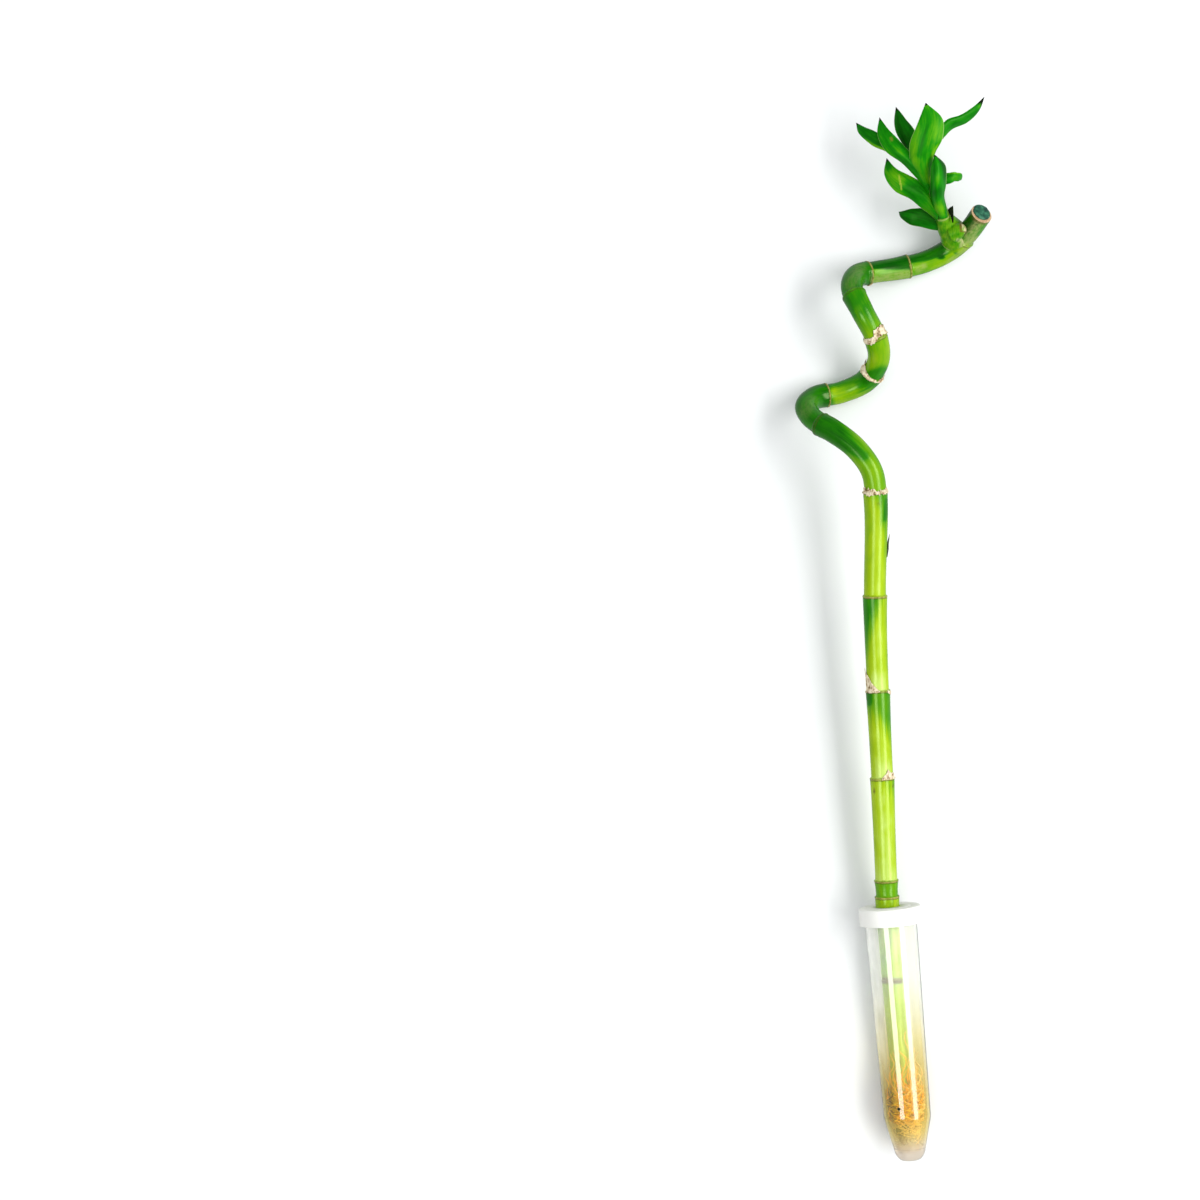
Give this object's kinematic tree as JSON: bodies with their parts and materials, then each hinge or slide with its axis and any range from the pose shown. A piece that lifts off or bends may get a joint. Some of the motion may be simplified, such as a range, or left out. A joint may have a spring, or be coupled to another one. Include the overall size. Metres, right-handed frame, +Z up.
{
  "type": "lucky bamboo",
  "caption": "Spiral-trained lucky bamboo cane with one leafy side shoot and a waxed cut top, lying down with its rooted foot in a clear capped water tube.",
  "frame": {"origin": "middle of the footprint, on the surface that the plant lies on", "axes": "+Y along the cane towards the leafy top, +Z up from the surface, +X to the side that the cut stub points to"},
  "size_m": [0.0908, 0.4934, 0.0481],
  "materials": {
    "cane": "satin",
    "leaf": "satin",
    "wax": "satin",
    "root": "matte",
    "clear_plastic": "gloss",
    "white_plastic": "satin",
    "water": "gloss"
  },
  "bodies": {
    "root": {"cane": "cane", "leafy_shoot": "leaf", "wax_seal": "wax", "roots": "root", "tube": "clear_plastic", "cap": "white_plastic", "water": "water"}
  },
  "joints": []
}
